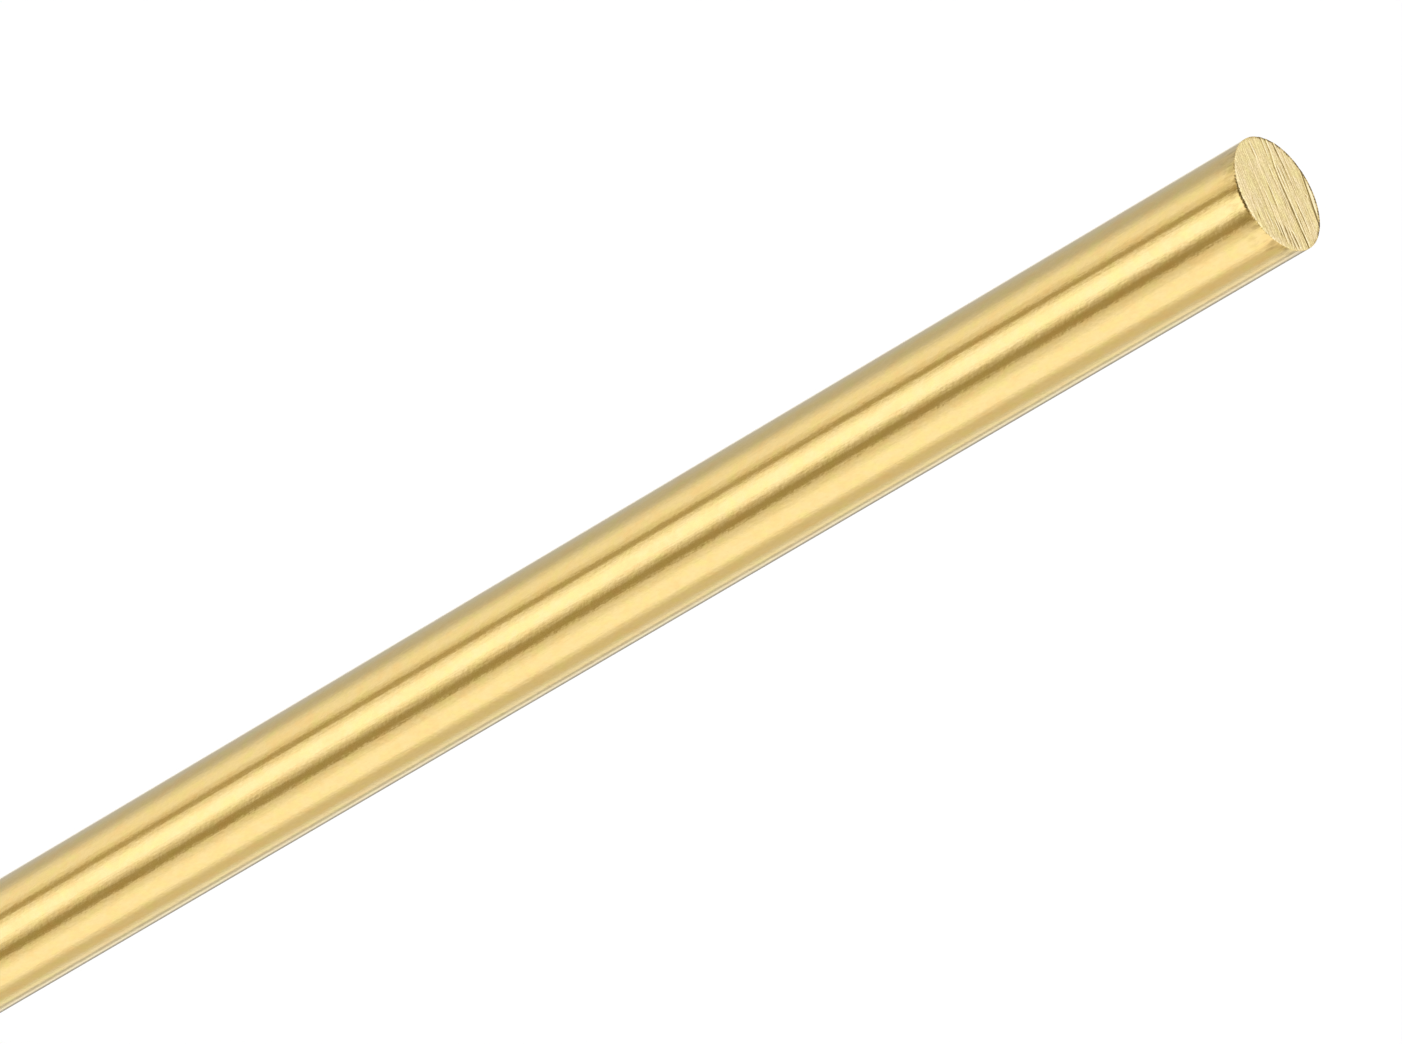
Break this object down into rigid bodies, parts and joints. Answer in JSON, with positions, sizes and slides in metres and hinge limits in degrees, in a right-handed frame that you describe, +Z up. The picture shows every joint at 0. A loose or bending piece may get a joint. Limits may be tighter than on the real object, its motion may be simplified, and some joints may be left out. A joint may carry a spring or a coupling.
{
  "type": "round brass bar",
  "caption": "Solid round brass bar, cold drawn and sawn to length, for turning, pins, shafts and fittings.",
  "frame": {"origin": "on the floor, at the middle of the bar's lower end", "axes": "+Z up along the bar's axis, the bar standing on the plane z = 0; +X to the right as seen from the front, where the crease in the upper end runs past the back and slightly to the right"},
  "size_m": [0.012, 0.012, 0.3],
  "materials": {
    "brass": "bright drawn, satin along its length, with sawn ends"
  },
  "bodies": {
    "root": {"bar": "brass"}
  },
  "joints": []
}
